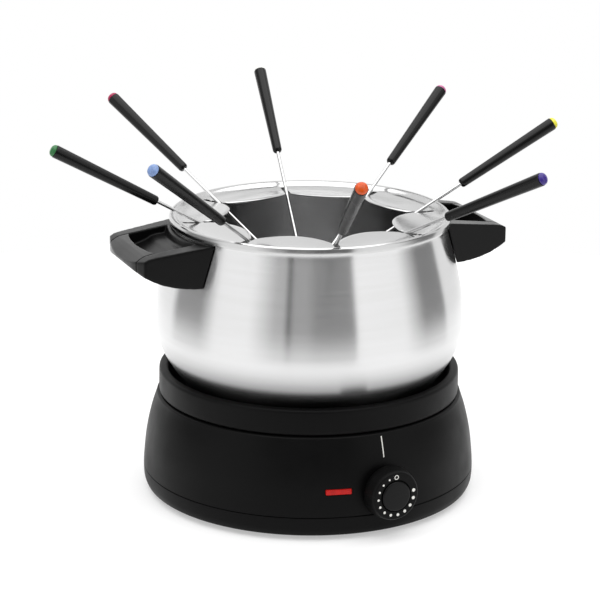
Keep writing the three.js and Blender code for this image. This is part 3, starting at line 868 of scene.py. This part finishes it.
SIDE_OUTLINE = [
    (HANDLE_START, 171.1), (75, 169.1), (111, 164.4), (115, 163.6), (117.8, 162.2), (120.8, 160),
    (122.6, 157.8), (122.4, 156.2), (120.4, 154.4), (117.8, 152.6), (112, 149.4), (106.5, 147),
    (99, 144.9), (91.5, 143.7), (82, 143.1), (HANDLE_START, 143.1),
]
BAR_FACE = [(108.2, 1), (109.8, 0.75), (110.8, 0.5), (111.4, 0.25), (111.6, 0)]
POCKET_FLOOR = [(HANDLE_START, 164), (90, 162.6), (98, 159.6), (105, 157.4), (115, 155.8)]


def mirrored(half):
    """An outline of (x, y) points with its other half at -y first, without repeated points."""
    return [(x, -y) for x, y in half if y] + half[::-1]


def handle_blank(name):
    """Outside of a handle: two arms and a bowed grip."""
    bow = spline([(117.8, 33.4), (119.8, 26.3), (121.4, 18.8), (122.4, 9), (122.8, 0)], 14)
    blank = prism(name, SIDE_OUTLINE, -HANDLE_HALF, HANDLE_HALF, upright=True)
    plan = prism("plan", mirrored([(HANDLE_START, 38.2), *bow]), *HANDLE_SPACE)
    combine(blank, plan, "INTERSECT")
    return blank


def beside_bar(name, outer_end, half, back):
    """The space on one side of the grip's curved inner face."""
    outline = [(outer_end, half), *[(x + back, share * half) for x, share in BAR_FACE]]
    return prism(name, mirrored(outline), *HANDLE_SPACE)


def within_sheet(name, distance, bearing):
    """The space inside a sheet that follows the pot's outside at a distance."""
    low, high = HANDLE_SPACE
    rising = [point for point in offset(POT_SIDE, distance) if point[1] > low]
    outline = [(1, low - 4), (rising[0][0], low - 4), *rising, (rising[-1][0], high), (1, high)]
    return about_pot(name, outline, bearing)


def beyond_floor(name, floor, height):
    """Everything between the pocket's floor line and a height."""
    outline = [*floor, (floor[-1][0], height), (HANDLE_START, height)]
    return prism(name, outline, -HANDLE_HALF, HANDLE_HALF, upright=True)


def make_handle(side):
    bearing = HANDLE_BEARINGS[side]
    low, high = HANDLE_SPACE
    body = handle_blank(f"handle_{side}_frame")
    combine(body, within_sheet("room", GAP, bearing), "DIFFERENCE")
    floor = spline(POCKET_FLOOR, 24)
    pocket = beside_bar("pocket", HANDLE_START, GRIP_HALF, 0)
    combine(pocket, beyond_floor("above", floor, high), "INTERSECT")
    hollow_plan = box_outline(HANDLE_START, HOLLOW_END, -HOLLOW_HALF, HOLLOW_HALF)
    hollow = prism("hollow", hollow_plan, low, high)
    ceiling = [(x, z - FLOOR_THICK) for x, z in floor]
    combine(hollow, beyond_floor("under", ceiling, low - 4), "INTERSECT")
    for space in (pocket, hollow):
        combine(space, within_sheet("wall", MOUNT_WALL, bearing), "DIFFERENCE")
        combine(body, space, "DIFFERENCE")
    boss_under = TAB_TOP + GAP
    boss = lathe(
        "boss",
        [
            (SCREW_HOLE, boss_under), (BOSS_RADIUS, boss_under),
            (BOSS_RADIUS, BOSS_TOP), (SCREW_HOLE, BOSS_TOP),
        ],
        SMALL_ROUND, closed=True, place=Matrix.Translation((HANDLE_SCREW_OUT, 0, 0)),
    )
    combine(body, boss, "UNION")
    slot_plan = box_outline(80, TAB_END + GAP, -TAB_HALF - GAP, TAB_HALF + GAP)
    combine(body, prism("slot", slot_plan, TAB_UNDER - GAP, boss_under), "DIFFERENCE")
    combine(body, beside_bar("grip_room", HANDLE_END, GRIP_HALF, 0), "DIFFERENCE")
    mould(body)
    body.data.transform(bearing_frame(bearing))

    grip = handle_blank(f"handle_{side}_insert")
    combine(grip, beside_bar("space", HANDLE_END, GRIP_HALF - 0.25, GAP), "INTERSECT")
    mould(grip, REMESH_VOXEL * 0.8, 4)
    grip.data.transform(bearing_frame(bearing))
    return body, grip


finish_piece(make_pot(), pot_steel, "pot", ("pot_body",))
finish_piece(make_disc(), disc_metal, "pot", ("pot_base_disc",))
for handle_side in HANDLE_BEARINGS:
    frame_piece, insert = make_handle(handle_side)
    node = f"handle_{handle_side}"
    finish_piece(frame_piece, moulded, "pot", (node,))
    finish_piece(insert, grip_black, "pot", (f"{node}_grip",))
    carry(f"{node}_bracket", plain_steel)
    carry(f"{node}_screw", dark_steel)


# Fork ring


def ring_height(r):
    """Top of the ring's sheet: a flat rim, a step down, then a rise to the lobes."""
    stops = [
        (46, 173.2), (60, 171.9), (66, 171.3), (72, 171), (79, 171.4), (81.4, 172.6),
        (82.6, 173.6), (83.6, 174.15), (84.5, RING_TOP), (85.3, RING_TOP - 0.05), (86.2, 173.2),
    ]
    for (r0, z0), (r1, z1) in zip(stops, stops[1:]):
        if r <= r1:
            t = min(max((r - r0) / (r1 - r0), 0), 1)
            return z0 + (z1 - z0) * t
    return stops[-1][1]


def ring_edge():
    """Inner edge as (angle, radius): a lobe, then a slot with a round end, eight times."""
    step = 2 * math.pi / NOTCHES
    half_chord = NOTCH_RADIUS * math.sin(step / 2)
    sagitta = NOTCH_RADIUS * math.cos(step / 2) - LOBE_RADIUS
    bow = (half_chord ** 2 + sagitta ** 2) / (2 * sagitta)
    spread = math.asin(half_chord / bow)
    edge = []
    for notch in range(NOTCHES):
        middle = math.radians(FIRST_NOTCH - 90) + (notch + 0.5) * step
        for k in range(41):
            along = spread * (k / 20 - 1)
            x = LOBE_RADIUS + bow * (1 - math.cos(along))
            y = bow * math.sin(along)
            angle = math.atan2(y, x)
            radius = math.hypot(x, y)
            slot_angle = math.asin(SLOT_HALF / radius)
            if abs(angle) < step / 2 - slot_angle:
                edge.append((middle + angle, radius))
        root = middle + step / 2
        start = edge[-1][1]
        side = []
        for k in range(7):
            radius = start + (SLOT_END - SLOT_HALF - start) * (k + 0.5) / 7
            side.append((-math.asin(SLOT_HALF / radius), radius))
        for k in range(1, 6):
            turn = math.pi * k / 6
            x = SLOT_END - SLOT_HALF + SLOT_HALF * math.sin(turn)
            side.append((math.atan2(-SLOT_HALF * math.cos(turn), x), x))
        for k in range(7):
            angle, radius = side[6 - k]
            side.append((-angle, radius))
        edge += [(root + angle, radius) for angle, radius in side]
    return edge


def make_ring():
    edge = ring_edge()
    outer = (79.6, 80.4, 81.2, 81.9, 82.6, 83.3, 84.0, 84.6, 85.2, 85.7, 86.0)
    inner_steps = 12
    points = []
    for angle, radius in edge:
        column = []
        for k in range(inner_steps):
            r = radius + (outer[0] - radius) * (k / inner_steps) ** 1.3
            fall = 0.7 * max(0.0, 1 - (r - radius) / 2.2) ** 2 if radius < NOTCH_RADIUS else 0.0
            column.append((r, ring_height(r) - fall))
        column += [(r, ring_height(r)) for r in outer]
        column += [(86.2, 172.6), (86.2, 171.4), (86.2, 170.4), (86.1, SKIRT_Z)]
        points += [(r * math.cos(angle), r * math.sin(angle), z) for r, z in column]
    size = inner_steps + len(outer) + 4
    faces = []
    for i in range(len(edge)):
        n = (i + 1) % len(edge)
        for k in range(size - 1):
            faces.append([i * size + k, n * size + k, n * size + k + 1, i * size + k + 1])
    ring = new_object("ring_sheet", points, faces)
    middle_face = ring.data.polygons[0]
    thicken = ring.modifiers.new("thickness", "SOLIDIFY")
    thicken.thickness = 1.0 * MM
    thicken.offset = -1 if middle_face.normal.z > 0 else 1
    thicken.use_even_offset = True
    apply_modifiers(ring)
    bevel(ring, 0.22, 2, 50)
    return ring


finish_piece(make_ring(), ring_steel, "fork_ring", ("fork_ring",))


# Forks


def fork_frame(colour):
    """Frame with X along the fork towards its cap, centred on its handle, and what lies where."""
    joint = next(j for j in frame["joints"] if j["child"] == f"fork_{colour}")
    along = Vector(joint["axis"]).normalized()
    level = Vector((0, 0, 1)).cross(along).normalized()
    up = along.cross(level)
    corners = [v.co for v in frame["nodes"][f"fork_{colour}_handle"].data.vertices]
    middle = sum(corners, Vector()) / len(corners)
    turn = Matrix((along, level, up)).transposed().to_4x4()
    place = Matrix.Translation(middle / MM) @ turn
    reach = {}
    for part in ("shaft", "handle", "cap"):
        marks = [
            (v.co - middle).dot(along) / MM
            for v in frame["nodes"][f"fork_{colour}_{part}"].data.vertices
        ]
        reach[part] = (min(marks), max(marks))
    return place, reach


def tine_outline(tip):
    """Two barbed tines that join the shaft."""
    half = [
        (41, 0.75), (36, 1.3), (31, 2.4), (27, 3.1), (23, 3.3), (9, 3.3), (8.4, 3.9), (6.6, 3.75),
        (3, 3.0), (0.3, 2.25), (0, 2.05), (0.5, 1.9), (4, 1.65), (20, 1.45), (22, 1.2),
        (23.2, 0.7), (23.6, 0),
    ]
    return [(tip + x, z) for x, z in mirrored(half)]


def make_fork(colour):
    place, reach = fork_frame(colour)
    tip = reach["shaft"][0]
    inside = reach["shaft"][1]
    start, end = reach["handle"]
    shaft = x_axis_lathe(
        "shaft", [(0, tip + 36), (0.7, tip + 36.4), (1.05, tip + 39), (1.05, inside), (0, inside)],
        place, 24,
    )
    tines = prism("tines", tine_outline(tip), -0.75, 0.75, upright=True, place=place)
    bevel(tines, 0.22, 2, 40)
    steel = join([shaft, tines], f"fork_{colour}_steel")
    length = end - start
    body = [(1.3, start + 1.5), (1.35, start), (2.3, start, 0.5), (2.95, start + 1.1, 0.9)]
    for k in range(1, 10):
        body.append((2.95 + 1.0 * k / 10, start + 1 + (length - 3) * k / 10))
    body += [
        (3.98, end - 1.4, 0.8), (3.95, end, 0.35), (3.4, end, 0.2), (3.4, end - 2), (0, end - 2),
    ]
    handle = x_axis_lathe(
        f"fork_{colour}_grip", [(1.3, start + 6), *fillet(body, 5)], place, SMALL_ROUND
    )
    dome = fillet([
        (0, end - 1.7), (3.25, end - 1.7, 0.1), (3.25, end + 0.12), (3.65, end + 0.15, 0.1),
        (3.75, end + 0.7, 0.6), (3.2, end + 1.9, 1.2), (1.9, end + 2.75, 1.2), (0, end + 2.95),
    ], 5)
    cap = x_axis_lathe(f"fork_{colour}_button", dome, place, SMALL_ROUND)
    return steel, handle, cap


for fork_colour, paint in FORK_COLOURS.items():
    fork_body = f"fork_{fork_colour}"
    steel_piece, handle_piece, cap_piece = make_fork(fork_colour)
    finish_piece(steel_piece, fork_steel, fork_body, (f"{fork_body}_shaft",))
    finish_piece(handle_piece, glossy_black, fork_body, (f"{fork_body}_handle",))
    cap_paint = coloured_cap(f"cap_{fork_colour}", paint)
    finish_piece(cap_piece, cap_paint, fork_body, (f"{fork_body}_cap",))


# Studio


def make_floor():
    points, faces = lathe_mesh([(r, 0) for r in (0, 150, 250, FLOOR_RADIUS)], 96, False)
    floor = new_object("studio_floor", points, faces)
    made = Material("floor_paper", (0.6,) * 3, 0.9, specular=0.1)
    made.vary_colour(made.noise(14, 3), (0.595,) * 3, (0.605,) * 3)
    made.shader.inputs["Emission Color"].default_value = (1, 1, 1, 1)
    made.shader.inputs["Emission Strength"].default_value = FLOOR_GLOW
    floor.data.materials.append(made.data)


def panel_stops():
    """Bearings and brightness where the studio's panels meet, with a blend at each edge."""
    stops = [PANELS[0][:2]]
    for (_, before, _), (start, after, softness) in zip(PANELS, PANELS[1:]):
        stops += [(start - softness / 2, before), (start + softness / 2, after)]
    return [*stops, (180, PANELS[-1][1])]


def make_world():
    """A white studio with soft boxes and dark cards around the object."""
    world = bpy.data.worlds.new("studio")
    bpy.context.scene.world = world
    world.use_nodes = True
    nodes = world.node_tree.nodes
    links = world.node_tree.links
    background = nodes["Background"]
    split = nodes.new("ShaderNodeSeparateXYZ")
    links.new(nodes.new("ShaderNodeTexCoord").outputs["Generated"], split.inputs[0])

    def maths(operation, a, b=None):
        made = nodes.new("ShaderNodeMath")
        made.operation = operation
        for socket, value in zip(made.inputs, (a, b)):
            if isinstance(value, (int, float)):
                socket.default_value = value
            elif value is not None:
                links.new(value, socket)
        return made.outputs[0]

    x, y, z = split.outputs
    bearing = maths("ARCTAN2", x, maths("MULTIPLY", y, -1))
    turn = maths("MULTIPLY_ADD", bearing, 1 / (2 * math.pi))
    turn.node.inputs[2].default_value = 0.5
    ramp = nodes.new("ShaderNodeValToRGB")
    stops = ramp.color_ramp.elements
    panels = panel_stops()
    while len(stops) < len(panels):
        stops.new(0.5)
    for stop, (angle, level) in zip(stops, panels):
        stop.position = angle / 360 + 0.5
        stop.color = (level, level, level, 1)
    links.new(turn, ramp.inputs["Fac"])
    height = nodes.new("ShaderNodeMapRange")
    height.interpolation_type = "SMOOTHSTEP"
    height.inputs["From Min"].default_value = PANEL_TOP[0]
    height.inputs["From Max"].default_value = PANEL_TOP[1]
    links.new(z, height.inputs["Value"])
    mix = nodes.new("ShaderNodeMixRGB")
    links.new(height.outputs["Result"], mix.inputs["Fac"])
    links.new(ramp.outputs["Color"], mix.inputs["Color1"])
    mix.inputs["Color2"].default_value = (1.0, 1.0, 1.0, 1)
    seen = nodes.new("ShaderNodeLightPath")
    show = nodes.new("ShaderNodeMixRGB")
    links.new(seen.outputs["Is Camera Ray"], show.inputs["Fac"])
    links.new(mix.outputs["Color"], show.inputs["Color1"])
    show.inputs["Color2"].default_value = (1.0, 1.0, 1.0, 1)
    links.new(show.outputs["Color"], background.inputs["Color"])
    background.inputs["Strength"].default_value = 1.0


def add_light(name, place, aim, size, power):
    data = bpy.data.lights.new(name, "AREA")
    data.size = size
    data.energy = power
    light = bpy.data.objects.new(name, data)
    light.location = place
    light.rotation_euler = (Vector(aim) - Vector(place)).to_track_quat("-Z", "Y").to_euler()
    bpy.context.scene.collection.objects.link(light)


def add_camera():
    yaw = math.radians(CAMERA_YAW)
    pitch = math.radians(CAMERA_PITCH)
    roll = math.radians(CAMERA_ROLL)
    ahead = Vector((
        math.sin(yaw) * math.cos(pitch), math.cos(yaw) * math.cos(pitch), -math.sin(pitch)
    ))
    right = Vector((math.cos(yaw), -math.sin(yaw), 0))
    up = right.cross(ahead)
    x = right * math.cos(roll) + up * math.sin(roll)
    y = up * math.cos(roll) - right * math.sin(roll)
    turn = Matrix((x, y, -ahead)).transposed().to_4x4()
    data = bpy.data.cameras.new("camera")
    data.sensor_width = 36
    data.lens = CAMERA_LENS
    camera = bpy.data.objects.new("camera", data)
    camera.matrix_world = Matrix.Translation(CAMERA_PLACE) @ turn
    bpy.context.scene.collection.objects.link(camera)
    bpy.context.scene.camera = camera


make_floor()
make_world()
add_light("overhead", LIGHT_PLACE, LIGHT_AIM, LIGHT_SIZE, LIGHT_WATTS)
add_camera()
bpy.context.scene.view_settings.view_transform = "Standard"
